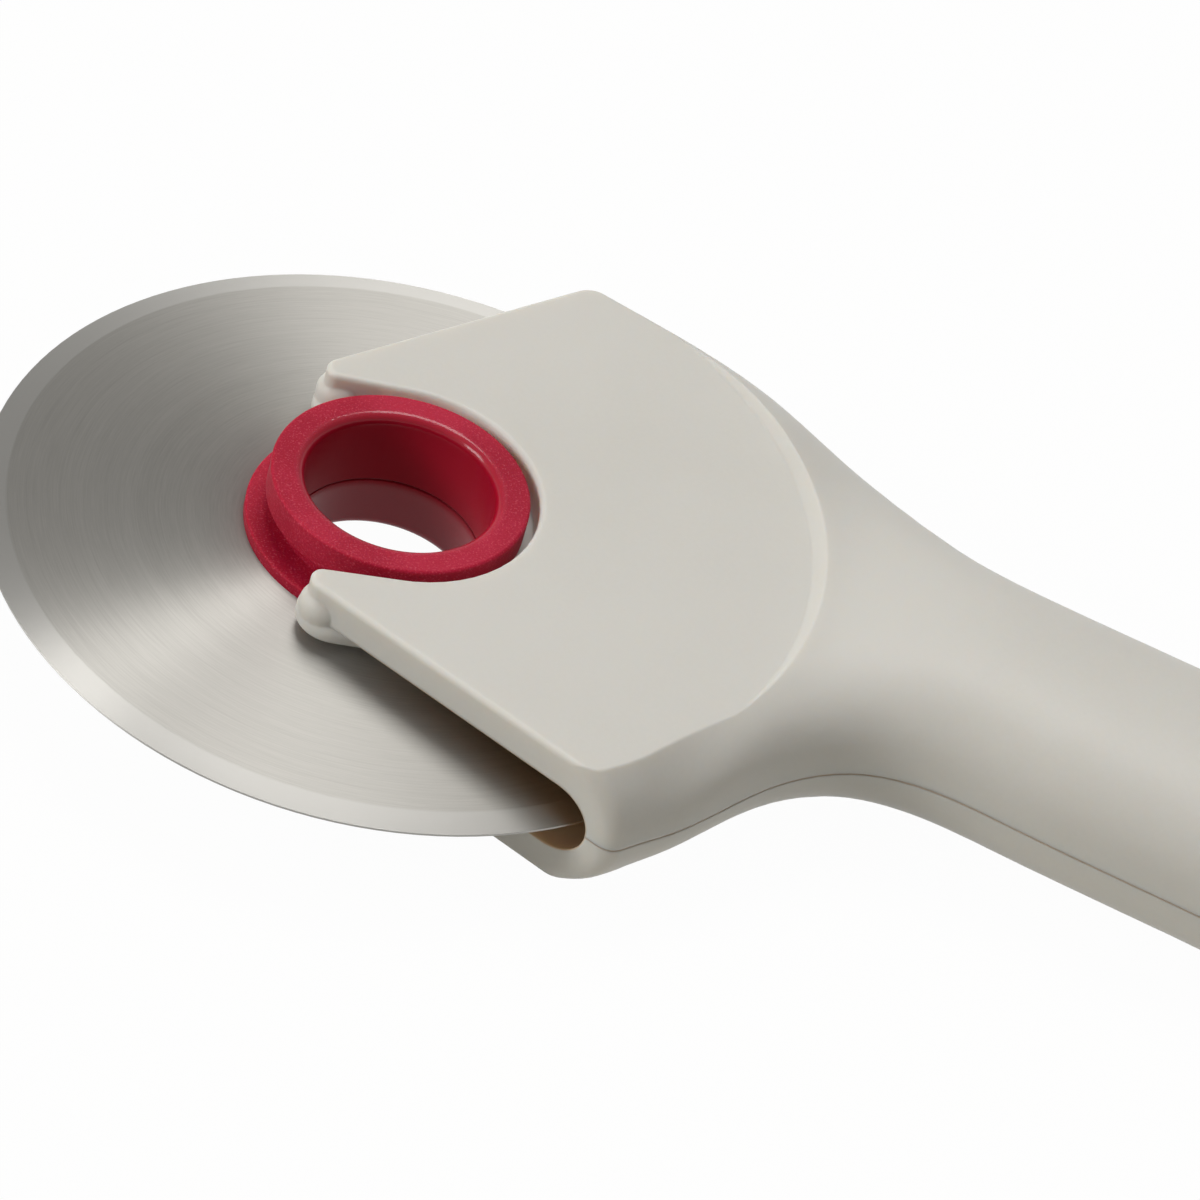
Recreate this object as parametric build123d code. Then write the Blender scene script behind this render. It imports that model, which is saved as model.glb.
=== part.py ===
from build123d import *
from math import cos, radians, sin, sqrt
import os

# Pizza wheel: a steel disc on a two-part hub that clips into a forked plastic handle.
# Origin at the wheel's centre, +Z along the wheel's axle, +X towards the handle.
# All lengths are in millimetres.

# Blade
blade_radius = 35.0
blade_thickness = 1.0
blade_edge_thickness = 0.2
bevel_width = 2.2

# Hub
hub_half_height = 6.4
bore_radius = 8.3
bore_rim_round = 0.85
bore_seam_round = 0.15
collar_radius = 11.25
collar_edge_round = 0.25
collar_height = 2.9
groove_radius = 9.95
spigot_radius = 9.9
spigot_reach = 0.95
flange_radius = 12.65
flange_thickness = 1.05
flange_edge_round = 0.2

# Fits between the wheel's pieces
blade_running_clearance = 0.05
blade_side_clearance = 0.05
spigot_clearance = 0.03
seat_clearance = 0.1

# Fork head
cheek_face_height = 6.43
cheek_thickness = 3.15
cheek_edge_round = 0.45
pocket_rim_clearance = 1.6
head_side_wall = 2.2
flat_edge_inset = 2.9
flat_ramp_gap = 0.1
flat_ramp_width = 0.8
flat_ramp_height = 0.75
prong_tip_reach = 7.1
prong_tip_half_width = 14.4
front_edge_angle = 36.04
head_rim_draw = 0.5
front_corner_round = 1.8
plate_inset = 1.8
slot_clearance = 0.9
slot_flare = 0.3
slot_tip_round = 1.1
prong_tip_round = 1.5

# Lip under each cheek that seats in the hub's groove
lip_thickness = 1.58
lip_outer_radius = 16.5
lip_tip_reach = 4.5
lip_top_round = 0.8
lip_base_round = 0.4
knob_radius = 2.3
knob_reach = 5.35
knob_half_spacing = 13.75
knob_height = 3.6
knob_round = 1.7

# Handle
neck_start = 20.0
neck_turn = 23.5
neck_bend_radius = 60.0
handle_half_width = 12.7
handle_half_height = 8.35
handle_reach = 176.0
nose_length = 15.0
section_fullness = 2.3
shell_wall = 2.4

# Parting line between the two shells
seam_gap = 0.14
seam_depth = 0.4

# Ribs and alignment pegs inside the handle
rib_thickness = 1.6
rib_gap = 0.3
peg_radius = 2.2
peg_reach = 4.5
peg_clearance = 0.1
peg_end_clearance = 0.5
peg_end_round = 0.5
socket_wall = 1.8

# One overrun for every cut
overrun = 1.0

# Places of the head's sections along the spine, as shares of head_radius
head_section_shares = [0.31, 0.39, 0.51]
# The neck's sections: place along the spine as a share of head_radius, near and far half width as
# shares of the step from handle_half_width up to head_radius, half height as a share of
# handle_half_height, and how much fuller than section_fullness the near shoulder of the upper shell is
neck_section_shares = [
    (0.615, 0.740, 0.674, 1.295, 1.00),
    (0.769, 0.650, 0.504, 1.100, 1.04),
    (0.923, 0.491, 0.299, 0.910, 1.32),
    (1.077, 0.272, 0.136, 0.905, 1.20),
    (1.231, 0.080, 0.035, 0.964, 1.08),
    (1.385, 0.004, 0.002, 0.994, 1.00),
    (1.590, -0.001, -0.003, 1.000, 1.00),
]
# The straight handle swells gently towards its end
handle_section_count = 9
handle_swell_share = 0.055
# The rounded end: angles of its sections, in degrees
nose_angles = [0, 25, 45, 60, 72, 81, 87]
# Angles at which each quarter of a section has its points, in degrees
quarter_angles = [0, 12, 26, 42, 58, 74, 90]

# Places of the ribs and pegs along the handle, as shares of handle_reach
rib_shares = [0.30, 0.44, 0.58, 0.72, 0.86]
peg_shares = [0.37, 0.65, 0.79]

blade_half = blade_thickness / 2
blade_hole_radius = spigot_radius + blade_running_clearance
flange_base = blade_half + blade_side_clearance
flange_top = flange_base + flange_thickness
groove_top = hub_half_height - collar_height
cheek_inner_height = cheek_face_height - cheek_thickness
pocket_radius = blade_radius + pocket_rim_clearance
head_radius = pocket_radius + head_side_wall
flat_edge_radius = head_radius - flat_edge_inset
flat_recess_radius = flat_edge_radius + flat_ramp_gap
slot_radius = collar_radius + slot_clearance
lip_inner_radius = groove_radius + seat_clearance
lip_base_height = cheek_inner_height - lip_thickness
peg_hole_radius = peg_radius + peg_clearance
boss_radius = peg_hole_radius + socket_wall


def turned(points):
    """Solid of revolution about Z from a closed profile of (radius, height) points."""
    profile = make_face(Polyline(*points, close=True))
    return revolve(Plane.XZ * profile, Axis.Z, 360)


def edges_at(shape, radius, height):
    """The round edges about Z of one radius at one height."""
    tolerance = overrun / 100
    return [
        edge
        for edge in shape.edges().filter_by(GeomType.CIRCLE)
        if abs(edge.radius - radius) < tolerance and abs(edge.arc_center.Z - height) < tolerance
    ]


def make_blade():
    """Flat steel disc, ground on both sides to a thin rim."""
    bevel_start = blade_radius - bevel_width
    edge_half = blade_edge_thickness / 2
    return turned(
        [
            (blade_hole_radius, -blade_half),
            (bevel_start, -blade_half),
            (blade_radius, -edge_half),
            (blade_radius, edge_half),
            (bevel_start, blade_half),
            (blade_hole_radius, blade_half),
        ]
    )


def make_hub_half(inner_base, profile_base):
    """One hub half above the blade, closed below by its own profile points."""
    half = turned(
        [
            (bore_radius, inner_base),
            *profile_base,
            (flange_radius, flange_base),
            (flange_radius, flange_top),
            (groove_radius, flange_top),
            (groove_radius, groove_top),
            (collar_radius, groove_top),
            (collar_radius, hub_half_height),
            (bore_radius, hub_half_height),
        ]
    )
    half = fillet(edges_at(half, bore_radius, hub_half_height), bore_rim_round)
    half = fillet(edges_at(half, bore_radius, inner_base), bore_seam_round)
    half = fillet(edges_at(half, collar_radius, hub_half_height), collar_edge_round)
    half = fillet(edges_at(half, collar_radius, groove_top), collar_edge_round)
    return fillet(edges_at(half, flange_radius, flange_top), flange_edge_round)


def make_hub_top():
    """Upper hub half, whose spigot passes through the blade and carries it."""
    return make_hub_half(
        -spigot_reach,
        [(spigot_radius, -spigot_reach), (spigot_radius, flange_base)],
    )


def make_hub_bottom():
    """Lower hub half, with a shallow socket for the spigot's end."""
    socket_radius = spigot_radius + spigot_clearance
    half = make_hub_half(
        spigot_reach,
        [(socket_radius, spigot_reach), (socket_radius, flange_base)],
    )
    return mirror(half, Plane.XY)


def spine(along):
    """Centre of the body's section and its turn, at a distance along the spine."""
    bend_end = neck_start + neck_bend_radius * radians(neck_turn)
    if along <= neck_start:
        return along, 0.0, 0.0
    turn = (min(along, bend_end) - neck_start) / neck_bend_radius
    straight = max(along - bend_end, 0.0)
    x = neck_start + neck_bend_radius * sin(turn) + straight * cos(turn)
    y = -neck_bend_radius * (1 - cos(turn)) - straight * sin(turn)
    return x, y, turn


def section_plane(along):
    """Plane across the spine, with its first axis sideways and its second axis up."""
    x, y, turn = spine(along)
    return Plane(origin=(x, y, 0), x_dir=(sin(turn), cos(turn), 0), z_dir=(cos(turn), -sin(turn), 0))


def quarter_section(fullness):
    """Points of a quarter of a section of unit size, squarer for a higher fullness."""
    power = 2 / fullness
    return [(cos(radians(angle)) ** power, sin(radians(angle)) ** power) for angle in quarter_angles]


def full_section(along, near, far, height, near_fullness):
    """Rounded section of the body, the same above and below the parting plane."""
    far_up = [(far * across, height * up) for across, up in quarter_section(section_fullness)[:-1]]
    near_quarter = quarter_section(near_fullness)[1:]
    near_up = [(-near * across, height * up) for across, up in reversed(near_quarter)]
    upper = far_up + near_up
    lower = [(-near, 0)] + [(across, -up) for across, up in reversed(upper[1:])]
    half_turn = quarter_angles[:-1] + [180 - angle for angle in reversed(quarter_angles[1:])]
    turn = half_turn + [180 + angle for angle in half_turn] + [360]
    edge = Edge.make_spline(upper + lower, periodic=True, parameters=turn)
    return section_plane(along) * Face(Wire([edge]))


def body_sections(shouldered):
    """Distance, near and far half width, half height and near fullness of every section of a half body."""
    rim_radius = flat_edge_radius - head_rim_draw
    sections = []
    for share in head_section_shares:
        along = share * head_radius
        half_width = sqrt(head_radius**2 - along**2)
        flat_share = sqrt(rim_radius**2 - along**2) / half_width
        height = cheek_face_height / (1 - flat_share**section_fullness) ** (1 / section_fullness)
        sections.append((along, half_width, half_width, height, section_fullness))
    for along_share, near_share, far_share, height_share, fullness_share in neck_section_shares:
        along = along_share * head_radius
        near = handle_half_width + near_share * (head_radius - handle_half_width)
        far = handle_half_width + far_share * (head_radius - handle_half_width)
        height = height_share * handle_half_height
        fullness = section_fullness * (fullness_share if shouldered else 1)
        sections.append((along, near, far, height, fullness))
    neck_end = sections[-1][0]
    nose_start = handle_reach - nose_length
    for step in range(1, handle_section_count):
        share = step / handle_section_count
        swell = 1 + handle_swell_share * share**2
        along = neck_end + share * (nose_start - neck_end)
        half_width = swell * handle_half_width
        sections.append((along, half_width, half_width, swell * handle_half_height, section_fullness))
    for angle in nose_angles:
        swell = cos(radians(angle)) * (1 + handle_swell_share)
        along = nose_start + nose_length * sin(radians(angle))
        half_width = swell * handle_half_width
        sections.append((along, half_width, half_width, swell * handle_half_height, section_fullness))
    return sections


def envelope(shouldered, inset=0.0):
    """Smooth form whose upper half is that of one shell, drawn in by an inset all round."""
    faces = [
        full_section(along, near - inset, far - inset, height - inset, near_fullness)
        for along, near, far, height, near_fullness in body_sections(shouldered)
        if height - inset > inset
    ]
    return loft(faces)


def front_edge_at(radius):
    """Where the slanted front edge crosses a circle about the wheel's centre, in plan."""
    run = cos(radians(front_edge_angle))
    rise = sin(radians(front_edge_angle))
    back = prong_tip_reach * run - prong_tip_half_width * rise
    tip_radius_squared = prong_tip_reach**2 + prong_tip_half_width**2
    along = back + sqrt(back**2 - tip_radius_squared + radius**2)
    return -prong_tip_reach + along * run, prong_tip_half_width + along * rise


def front_plan():
    """Plan of all that lies behind the two slanted front edges."""
    tail = handle_reach + overrun
    side = [(-prong_tip_reach, prong_tip_half_width), front_edge_at(2 * head_radius), (tail, tail)]
    points = side + [(x, -y) for x, y in reversed(side)]
    return make_face(Polyline(*points, close=True))


def tip_corners(plan, inner):
    """The plan's corners at the prong tips, on the slot's side or on the outer side."""
    tolerance = overrun / 10
    tips = [v for v in plan.vertices() if abs(v.X + prong_tip_reach) < tolerance]
    return [v for v in tips if (abs(v.Y) < prong_tip_half_width - tolerance) == inner]


def head_plan():
    """The same plan with its open slot and rounded prong tips."""
    mouth = -prong_tip_reach - overrun
    slot = make_face(
        Polyline(
            (0, slot_radius),
            (mouth, slot_radius + slot_flare),
            (mouth, -slot_radius - slot_flare),
            (0, -slot_radius),
            close=True,
        )
    )
    plan = front_plan() - slot - Circle(slot_radius)
    plan = fillet(tip_corners(plan, True), slot_tip_round)
    return fillet(tip_corners(plan, False), prong_tip_round)


def behind_front():
    """Everything behind the two slanted front edges, at any height."""
    return Pos(0, 0, -head_radius) * extrude(front_plan(), 2 * head_radius)


def head_plate():
    """Flat plate that carries the prongs ahead of the smooth form."""
    corner_x, half_width = front_edge_at(flat_edge_radius - plate_inset)
    length = corner_x + prong_tip_reach + overrun
    plate = Pos(corner_x - length / 2, 0, 0) * Box(length, 2 * half_width, 2 * cheek_face_height)
    return plate & behind_front()


def flat_recess():
    """Shallow round recess, with a ramped edge, that leaves the flat cheek face."""
    widening = head_radius * flat_ramp_width / flat_ramp_height
    recess = Cone(
        flat_recess_radius,
        flat_recess_radius + widening,
        head_radius,
        align=(Align.CENTER, Align.CENTER, Align.MIN),
    )
    return Pos(0, 0, cheek_face_height) * recess


def head_outline():
    """All that the upper half may fill: the cheek with rounded edges, and the full height behind it."""
    cheek = extrude(head_plan(), cheek_face_height)
    cheek = fillet(cheek.edges().group_by(Axis.Z)[-1], cheek_edge_round)
    behind = extrude(Pos(2 * cheek_edge_round, 0, 0) * front_plan(), head_radius)
    return cheek + (behind - Cylinder(flat_edge_radius, 4 * head_radius))


def front_corner_edges(form):
    """The curved edges where the slanted front faces meet the head's sides."""
    return [
        edge
        for edge in form.edges().filter_by(GeomType.BSPLINE)
        if abs(edge.center().Y) > head_radius / 2
        and edge.center().X < head_radius
        and edge.bounding_box().size.Z > cheek_inner_height
    ]


def blade_pocket():
    """Space for the blade between the cheeks, with a full round rim."""
    half = cheek_inner_height
    profile = Pos(pocket_radius / 2 - half / 2, 0) * Rectangle(pocket_radius - half, 2 * half)
    profile += Pos(pocket_radius - half, 0) * Circle(half)
    return revolve(Plane.XZ * profile, Axis.Z, 360)


def make_lip():
    """U-shaped lip under the upper cheek, with rounded arm ends that stand out in front."""
    arm_middle = (lip_inner_radius + lip_outer_radius) / 2
    arm_width = lip_outer_radius - lip_inner_radius
    plan = Circle(lip_outer_radius) - Circle(lip_inner_radius)
    plan -= Pos(-lip_outer_radius, 0) * Rectangle(2 * lip_outer_radius, 2 * lip_outer_radius + overrun)
    for side in (-1, 1):
        plan += Pos(-lip_tip_reach / 2, side * arm_middle) * Rectangle(lip_tip_reach, arm_width)
        plan += Pos(-lip_tip_reach, side * arm_middle) * Circle(arm_width / 2)
    lip = Pos(0, 0, lip_base_height) * extrude(plan, lip_thickness)
    lip = fillet(lip.edges().group_by(Axis.Z)[-1], lip_top_round)
    return fillet(lip.edges().group_by(Axis.Z)[0], lip_base_round)


def make_knobs():
    """Rounded knobs at the ends of the lip's arms, proud of the prong tips."""
    knob = extrude(Circle(knob_radius), knob_height)
    knob = fillet(knob.edges().group_by(Axis.Z)[0] + knob.edges().group_by(Axis.Z)[-1], knob_round)
    return [Pos(-knob_reach, side * knob_half_spacing, lip_base_height) * knob for side in (-1, 1)]


def handle_cavity(shouldered):
    """Hollow inside the handle, crossed by ribs and by the bosses of the pegs."""
    rib_height = handle_half_height + overrun
    rib = Box(2 * (handle_half_width + overrun), rib_height, rib_thickness)
    lift = (rib_height + rib_gap) / 2
    boss = Cylinder(boss_radius, 4 * handle_half_height)
    kept = [Cylinder(pocket_radius + shell_wall, 4 * head_radius)]
    kept += [section_plane(share * handle_reach) * Pos(0, lift, 0) * rib for share in rib_shares]
    kept += [place * boss for place in peg_places()]
    return envelope(shouldered, shell_wall) - kept


def seam_groove(shouldered):
    """Shadow line all round a shell's parting face."""
    slab = extrude(Rectangle(4 * handle_reach, 4 * handle_reach), seam_gap / 2)
    return slab - envelope(shouldered, seam_depth)


def peg_places():
    """Places of the alignment pegs on the spine."""
    return [Pos(*spine(share * handle_reach)[:2], 0) for share in peg_shares]


def make_pegs():
    """Alignment pegs that rise from the lower shell's bosses."""
    peg = extrude(Circle(peg_radius), peg_reach)
    peg = fillet(peg.edges().group_by(Axis.Z)[-1], peg_end_round)
    return [place * peg for place in peg_places()]


def peg_sockets():
    """Sockets for the pegs, in the upper shell's bosses."""
    socket = extrude(Circle(peg_hole_radius), peg_reach + peg_end_clearance)
    return [place * socket for place in peg_places()]


def make_form(shouldered):
    """Head and handle in one solid piece, the same above and below the parting plane."""
    form = envelope(shouldered) & behind_front()
    form = fillet(front_corner_edges(form), front_corner_round) + head_plate()
    return form - [flat_recess(), mirror(flat_recess(), Plane.XY)]


def make_shell(shouldered):
    """Upper half of a form: hollowed, with its lip, knobs and parting line."""
    shell = make_form(shouldered) & head_outline()
    shell -= [blade_pocket(), handle_cavity(shouldered), seam_groove(shouldered)]
    return shell + [make_lip(), *make_knobs()]


def make_parts():
    """All five pieces by name, each in its place."""
    return {
        "blade": make_blade(),
        "hub_top": make_hub_top(),
        "hub_bottom": make_hub_bottom(),
        "handle_top_shell": make_shell(True) - peg_sockets(),
        "handle_bottom_shell": mirror(make_shell(False), Plane.XY) + make_pegs(),
    }


if __name__ == "__main__":
    os.makedirs("parts", exist_ok=True)
    for name, shape in make_parts().items():
        export_step(shape, f"parts/{name}.step")
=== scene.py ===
import bpy
from mathutils import Matrix, Vector


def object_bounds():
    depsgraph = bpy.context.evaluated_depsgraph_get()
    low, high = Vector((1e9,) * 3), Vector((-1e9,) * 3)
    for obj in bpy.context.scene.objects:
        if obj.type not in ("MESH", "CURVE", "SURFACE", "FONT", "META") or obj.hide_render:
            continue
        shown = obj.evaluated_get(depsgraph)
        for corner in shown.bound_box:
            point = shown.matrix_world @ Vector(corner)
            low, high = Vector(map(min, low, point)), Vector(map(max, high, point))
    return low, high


# Pizza wheel with a steel disc, a red hub and an ivory grey handle, in metres.

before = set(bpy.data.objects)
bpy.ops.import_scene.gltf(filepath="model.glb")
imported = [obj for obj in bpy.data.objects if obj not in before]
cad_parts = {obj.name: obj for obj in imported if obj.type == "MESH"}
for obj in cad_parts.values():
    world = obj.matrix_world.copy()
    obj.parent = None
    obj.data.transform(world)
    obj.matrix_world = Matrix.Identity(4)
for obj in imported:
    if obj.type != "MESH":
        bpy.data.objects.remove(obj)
cad_low, cad_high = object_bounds()
MM = 0.001

# Places on the solids that the finishes follow, in millimetres
BEVEL_START = 32.8
BORE_RADIUS = 8.3
BORE_RIM_START = 5.2
BORE_RIM_END = 6.0
HUB_SEAM = -0.95
SLOT_RADIUS = 12.15
FLAT_HEIGHT = 6.43
LIP_RADIUS = 16.5
POCKET_RADIUS = 36.6
POCKET_HALF_HEIGHT = 3.28

# Colours, as linear red, green and blue
IVORY_DEEP = (0.612, 0.590, 0.535, 1)
IVORY_PALE = (0.640, 0.619, 0.566, 1)
# Painted warm light for inside the pocket, standing in for light that comes through the plastic
POCKET_PAINTED_WARM_LIGHT = (0.68, 0.47, 0.28, 1)
# Painted light for the slot walls beside the hub
SLOT_WALL_PAINTED_LIGHT = (0.80, 0.755, 0.695, 1)
PARTING_LINE = (0.620, 0.520, 0.420, 1)
RED_DEEP = (0.340, 0.002, 0.022, 1)
RED_BRIGHT = (0.470, 0.014, 0.046, 1)
# Painted glint colour for sparkling highlights on the hub's textured faces
RED_PAINTED_GLINT = (0.700, 0.160, 0.200, 1)
RED_BORE = (0.370, 0.001, 0.018, 1)
RED_SEAM = (0.220, 0.001, 0.010, 1)
STEEL_DARK = (0.390, 0.376, 0.347, 1)
STEEL_LIGHT = (0.487, 0.471, 0.438, 1)
STEEL_BEVEL = (0.498, 0.485, 0.456, 1)
PAPER = (0.64, 0.62, 0.56, 1)
WHITE = (1, 1, 1, 1)


# Materials


class Channel:
    """A socket's value inside a node tree, which Python expressions combine."""

    def __init__(self, recipe, socket):
        self.recipe = recipe
        self.socket = socket

    def combine(self, operation, first, second):
        return self.recipe.node("ShaderNodeMath", {"operation": operation}, {0: first, 1: second})

    def __add__(self, other):
        return self.combine("ADD", self, other)

    def __radd__(self, other):
        return self.combine("ADD", other, self)

    def __sub__(self, other):
        return self.combine("SUBTRACT", self, other)

    def __rsub__(self, other):
        return self.combine("SUBTRACT", other, self)

    def __mul__(self, other):
        return self.combine("MULTIPLY", self, other)

    def __truediv__(self, other):
        return self.combine("DIVIDE", self, other)

    def __pow__(self, other):
        return self.combine("POWER", self, other)


class Recipe:
    """A tree of shader nodes."""

    def __init__(self, tree):
        self.tree = tree
        self.tree.nodes.clear()

    def node(self, kind, settings=None, values=None, output=0):
        """A node of one kind: settings first, then socket values or links. Gives one output."""
        made = self.tree.nodes.new(kind)
        for key, value in (settings or {}).items():
            setattr(made, key, value)
        for key, value in (values or {}).items():
            socket = made.inputs[key]
            if isinstance(value, Channel):
                self.tree.links.new(value.socket, socket)
            else:
                socket.default_value = value
        return Channel(self, made.outputs[output]) if len(made.outputs) else None

    def parts(self, place):
        """The three coordinates of a place."""
        made = self.tree.nodes.new("ShaderNodeSeparateXYZ")
        self.tree.links.new(place.socket, made.inputs[0])
        return [Channel(self, made.outputs[axis]) for axis in range(3)]

    def joined(self, x, y, z):
        """Three coordinates as one place."""
        return self.node("ShaderNodeCombineXYZ", None, {0: x, 1: y, 2: z})

    def spread(self, value, low, high, to_low=0.0, to_high=1.0):
        """The value, taken from one range smoothly to another."""
        settings = {"interpolation_type": "SMOOTHSTEP"}
        values = {"Value": value, 1: low, 2: high, 3: to_low, 4: to_high}
        return self.node("ShaderNodeMapRange", settings, values)

    def size(self, value):
        """The value without its sign."""
        return self.node("ShaderNodeMath", {"operation": "ABSOLUTE"}, {0: value})

    def larger(self, value, other):
        return self.node("ShaderNodeMath", {"operation": "MAXIMUM"}, {0: value, 1: other})

    def in_view(self):
        """1 for what is looked at, mirrored or seen through something, 0 for soft light."""
        paths = self.tree.nodes.new("ShaderNodeLightPath")
        seen = Channel(self, paths.outputs["Is Camera Ray"])
        for name in ("Is Glossy Ray", "Is Transmission Ray"):
            seen = self.larger(seen, Channel(self, paths.outputs[name]))
        return seen


class Finish(Recipe):
    """One material, built from nodes."""

    def __init__(self, name):
        self.material = bpy.data.materials.new(name)
        self.material.use_nodes = True
        super().__init__(self.material.node_tree)

    def place(self):
        """Position on the piece, in millimetres."""
        metres = self.node("ShaderNodeTexCoord", output="Object")
        scale = {"operation": "SCALE"}
        return self.node("ShaderNodeVectorMath", scale, {0: metres, "Scale": 1 / MM})

    def noise(self, place, scale, detail=2.0, roughness=0.5):
        values = {"Vector": place, "Scale": scale, "Detail": detail, "Roughness": roughness}
        return self.node("ShaderNodeTexNoise", None, values, "Fac")

    def blend(self, factor, first, second):
        """Two colours mixed by a factor."""
        settings = {"data_type": "RGBA"}
        return self.node("ShaderNodeMix", settings, {0: factor, 6: first, 7: second}, 2)

    def bump(self, height, distance, strength, normal=None):
        values = {"Height": height, "Distance": distance, "Strength": strength}
        if normal is not None:
            values["Normal"] = normal
        return self.node("ShaderNodeBump", None, values)

    def surface(self, **values):
        """The shader itself, with its sockets by name."""
        inputs = {key.replace("_", " "): value for key, value in values.items()}
        shader = self.node("ShaderNodeBsdfPrincipled", None, inputs)
        self.node("ShaderNodeOutputMaterial", None, {"Surface": shader})
        return self.material


def handle_plastic():
    """Satin ivory grey plastic, with painted warm light inside the slots, standing in for light
    that comes through it, and painted light on the slot walls beside the hub.
    """
    finish = Finish("handle_plastic")
    place = finish.place()
    x, y, z = finish.parts(place)
    radius = (x * x + y * y) ** 0.5
    height = finish.size(z)

    # Faint mottling
    cloud = finish.noise(place, 0.035, 3.0)
    fine = finish.noise(place, 2.2, 2.0)
    tone = finish.spread(cloud * 0.8 + fine * 0.2, 0.3, 0.7)
    colour = finish.blend(tone, IVORY_DEEP, IVORY_PALE)

    # Painted warm light inside the pocket that the blade turns in, standing in for light that
    # comes through the plastic
    behind_lip = finish.spread(radius, LIP_RADIUS + 0.8, LIP_RADIUS + 1.6)
    past_flat = finish.larger(radius - (POCKET_RADIUS - POCKET_HALF_HEIGHT), 0.0)
    off_middle = (past_flat * past_flat + z * z) ** 0.5
    wall_start = POCKET_HALF_HEIGHT + 0.02
    wall_end = POCKET_HALF_HEIGHT + 0.15
    within = 1.0 - finish.spread(off_middle, wall_start, wall_end)
    colour = finish.blend(behind_lip * within, colour, POCKET_PAINTED_WARM_LIGHT)

    # Painted light on the walls of the open slot, beside the hub: a paler colour standing in for
    # light that comes through the plastic and bounces off the hub
    near_hub = 1.0 - finish.spread(radius, SLOT_RADIUS + 0.1, SLOT_RADIUS + 0.4)
    above_lip = finish.spread(height, POCKET_HALF_HEIGHT, POCKET_HALF_HEIGHT + 0.3)
    below_flat = 1.0 - finish.spread(height, FLAT_HEIGHT - 0.5, FLAT_HEIGHT - 0.1)
    colour = finish.blend(near_hub * above_lip * below_flat, colour, SLOT_WALL_PAINTED_LIGHT)

    parting_line = 1.0 - finish.spread(height, 0.07, 0.12)
    colour = finish.blend(parting_line, colour, PARTING_LINE)

    grain = finish.noise(place, 6.0, 2.0, 0.6)
    softened = finish.node("ShaderNodeBevel", {"samples": 6}, {"Radius": 0.0004})
    return finish.surface(
        Base_Color=colour,
        Roughness=0.40 + cloud * 0.08 + fine * 0.06,
        IOR=1.46,
        Subsurface_Weight=0.5,
        Subsurface_Radius=(1.0, 0.75, 0.55),
        Subsurface_Scale=0.0025,
        Normal=finish.bump(grain, 0.00001, 0.35, softened),
    )


def hub_plastic():
    """Deep red plastic, finely textured on its flat faces, with painted glints there, and smooth
    inside the bore.
    """
    finish = Finish("hub_plastic")
    place = finish.place()
    x, y, z = finish.parts(place)
    radius = (x * x + y * y) ** 0.5
    bore = 1.0 - finish.spread(radius, BORE_RADIUS + 0.1, BORE_RADIUS + 0.9)
    seam = bore * (1.0 - finish.spread(finish.size(z - HUB_SEAM), 0.08, 0.2))

    cloud = finish.noise(place, 0.12, 3.0)
    spark = finish.noise(place, 5.5, 3.0, 0.65)
    tone = finish.spread(cloud * 0.6 + spark * 0.4, 0.35, 0.65)
    colour = finish.blend(tone, RED_DEEP, RED_BRIGHT)
    # Painted glints: pale pink specks on the textured faces, standing in for sparkling highlights
    painted_glint = finish.spread(spark, 0.55, 0.68) * (1.0 - bore)
    colour = finish.blend(painted_glint * 0.3, colour, RED_PAINTED_GLINT)
    colour = finish.blend(bore, colour, RED_BORE)
    colour = finish.blend(seam, colour, RED_SEAM)

    # A gloss on the bore's upper rim and below its seam
    rim_width = finish.spread(radius, BORE_RADIUS + 0.7, BORE_RADIUS + 1.0)
    rim = finish.spread(z, BORE_RIM_START, BORE_RIM_END) * (1.0 - rim_width)
    lower_bore = bore * finish.spread(HUB_SEAM - z, 0.1, 1.0)
    return finish.surface(
        Base_Color=colour,
        Roughness=0.46 + spark * 0.12,
        IOR=1.45,
        Specular_IOR_Level=0.2,
        Coat_Weight=rim * 0.5 + lower_bore * 0.4,
        Coat_Roughness=0.12,
        Subsurface_Weight=0.3,
        Subsurface_Radius=(1.0, 0.1, 0.1),
        Subsurface_Scale=0.002,
        Normal=finish.bump(spark * (1.0 - bore * 0.8), 0.00005, 0.8),
    )


def blade_steel():
    """Turned steel: fine rings round the centre, short scratches along them and a bevel."""
    finish = Finish("blade_steel")
    place = finish.place()
    x, y, _ = finish.parts(place)
    radius = (x * x + y * y) ** 0.5
    ring_place = finish.joined(radius, 0.0, 0.0)
    scratch_place = finish.joined(x / radius * 6.0, y / radius * 6.0, radius * 9.0)

    warp = finish.noise(place, 0.03, 2.0)
    broad = finish.noise(ring_place, 0.5, 4.0, 0.6)
    rings = finish.noise(ring_place, 5.0, 5.0, 0.75)
    scratches = finish.noise(scratch_place, 1.0, 4.0, 0.7)
    tone = finish.spread(broad * 0.25 + rings * 0.35 + scratches * 0.4, 0.32, 0.68)
    colour = finish.blend(tone, STEEL_DARK, STEEL_LIGHT)
    bevel = finish.spread(radius, BEVEL_START - 0.15, BEVEL_START + 0.15)
    colour = finish.blend(bevel, colour, STEEL_BEVEL)
    return finish.surface(
        Base_Color=colour,
        Metallic=1.0,
        Roughness=0.43 + broad * 0.06 + warp * 0.06 + scratches * 0.06,
        Anisotropic=0.94,
        Anisotropic_Rotation=0.25,
        Normal=finish.bump(rings * 0.5 + scratches * 0.5, 0.00002, 0.3),
    )


steel = blade_steel()
red = hub_plastic()
ivory = handle_plastic()
finishes = {
    "blade": steel,
    "hub_top": red,
    "hub_bottom": red,
    "handle_top_shell": ivory,
    "handle_bottom_shell": ivory,
}
for node, material in finishes.items():
    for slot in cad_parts[node].material_slots:
        slot.material = material


# Studio

FLOOR_WIDTH = 6.0
FLOOR_WHITE_SHARE = 0.975
ROOM_LIGHT = 0.32
WALL_BRIGHTNESS = 1.0
CEILING_BRIGHTNESS = 0.47
WALL_TOP = 0.12
CEILING_START = 0.45
LAMP_AIM = (0.02, 0, 0)


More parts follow.
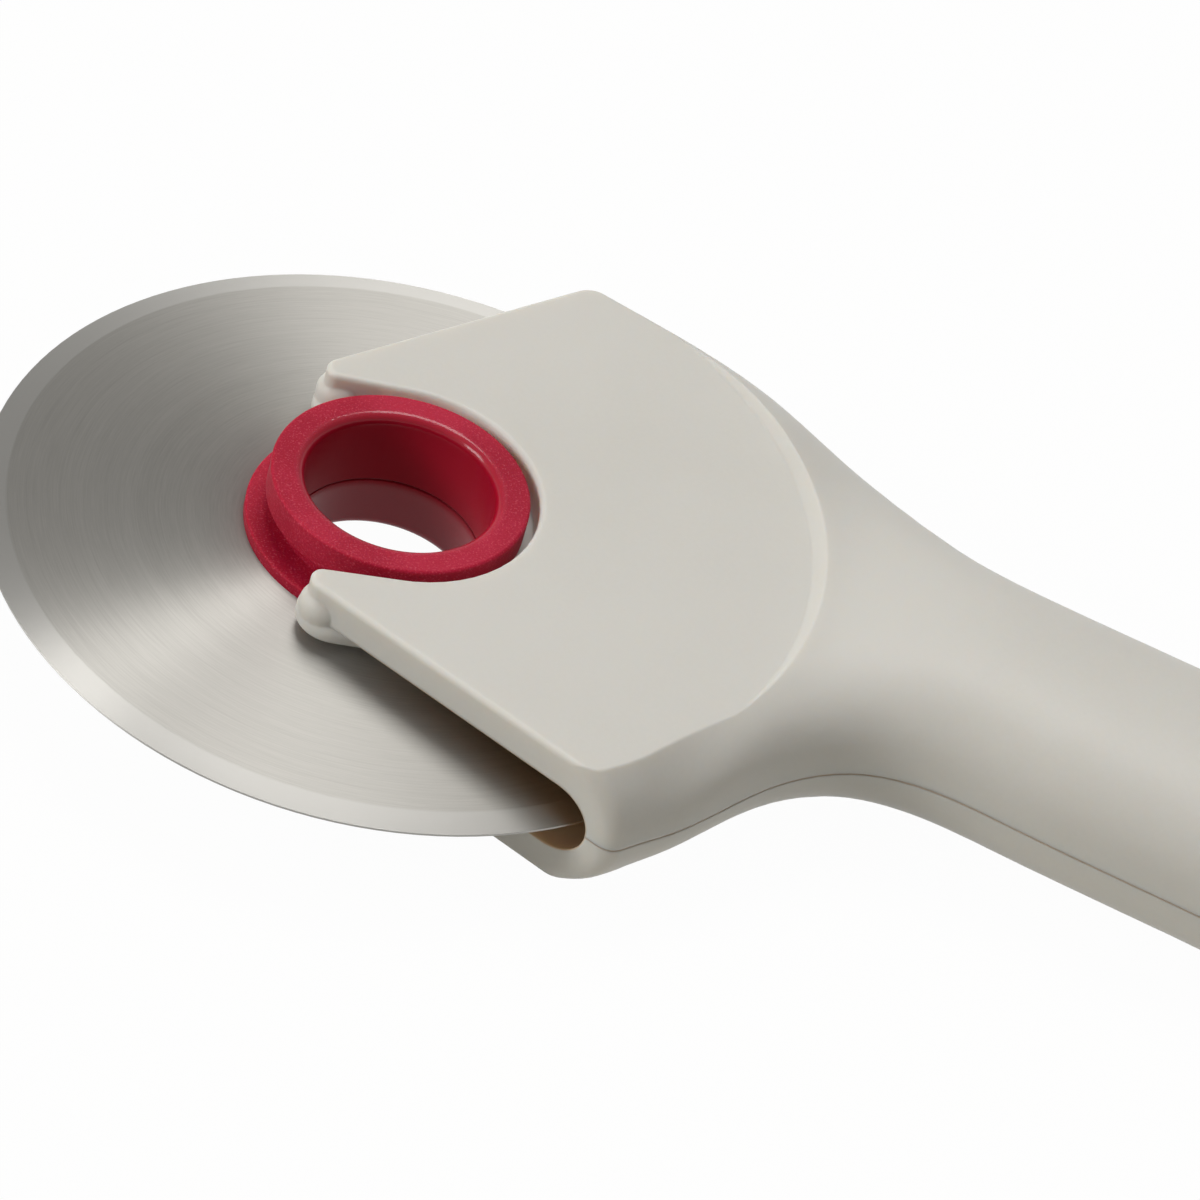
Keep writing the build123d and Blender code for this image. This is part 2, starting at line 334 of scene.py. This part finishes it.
def white_paper():
    """Pale floor that shows as white and keeps the object's shadow."""
    finish = Finish("white_paper")
    paper = finish.node("ShaderNodeBsdfDiffuse", None, {"Color": PAPER})
    glow = finish.node("ShaderNodeEmission", None, {"Color": WHITE, "Strength": 1.0})
    share = finish.in_view() * FLOOR_WHITE_SHARE
    mixed = finish.node("ShaderNodeMixShader", None, {0: share, 1: paper, 2: glow})
    finish.node("ShaderNodeOutputMaterial", None, {"Surface": mixed})
    return finish.material


def white_room():
    """World that lights softly, with white walls and a greyer ceiling in reflections."""
    world = bpy.data.worlds.new("white_room")
    bpy.context.scene.world = world
    world.use_nodes = True
    room = Recipe(world.node_tree)
    height = room.parts(room.node("ShaderNodeTexCoord", output="Generated"))[2]
    mirrored = room.spread(height, WALL_TOP, CEILING_START, WALL_BRIGHTNESS, CEILING_BRIGHTNESS)
    values = {0: room.in_view(), 2: ROOM_LIGHT, 3: mirrored}
    strength = room.node("ShaderNodeMix", {"data_type": "FLOAT"}, values)
    back = room.node("ShaderNodeBackground", None, {"Strength": strength})
    room.node("ShaderNodeOutputWorld", None, {"Surface": back})


def soft_light(name, spot, size, power):
    """Square soft light at a spot, turned to the head of the handle."""
    data = bpy.data.lights.new(name, "AREA")
    data.shape = "SQUARE"
    data.size = size
    data.energy = power
    lamp = bpy.data.objects.new(name, data)
    bpy.context.scene.collection.objects.link(lamp)
    lamp.location = spot
    lamp.rotation_mode = "QUATERNION"
    lamp.rotation_quaternion = (Vector(LAMP_AIM) - Vector(spot)).to_track_quat("-Z", "Y")


bpy.ops.mesh.primitive_plane_add(size=FLOOR_WIDTH, location=(0, 0, cad_low.z))
floor = bpy.context.object
floor.name = "studio_floor"
floor.data.materials.append(white_paper())

white_room()
soft_light("key", (-0.84, -0.14, 0.48), size=0.40, power=4.8)
soft_light("top", (0.01, 0.36, 0.95), size=0.50, power=5.3)

# Camera

camera_data = bpy.data.cameras.new("camera")
camera = bpy.data.objects.new("camera", camera_data)
bpy.context.scene.collection.objects.link(camera)
camera_data.sensor_width = 36.0
camera_data.lens = 119.73
camera_data.clip_start = 0.01
camera_data.clip_end = 20.0
right = Vector((0.97425, -0.00213, 0.22545))
down = Vector((0.16457, -0.67677, -0.71756))
forward = Vector((0.15410, 0.73619, -0.65900))
camera.rotation_mode = "QUATERNION"
camera.rotation_quaternion = Matrix((right, -down, -forward)).transposed().to_quaternion()
camera.location = (-0.034207, -0.256518, 0.226443)
bpy.context.scene.camera = camera
bpy.context.scene.view_settings.view_transform = "Standard"
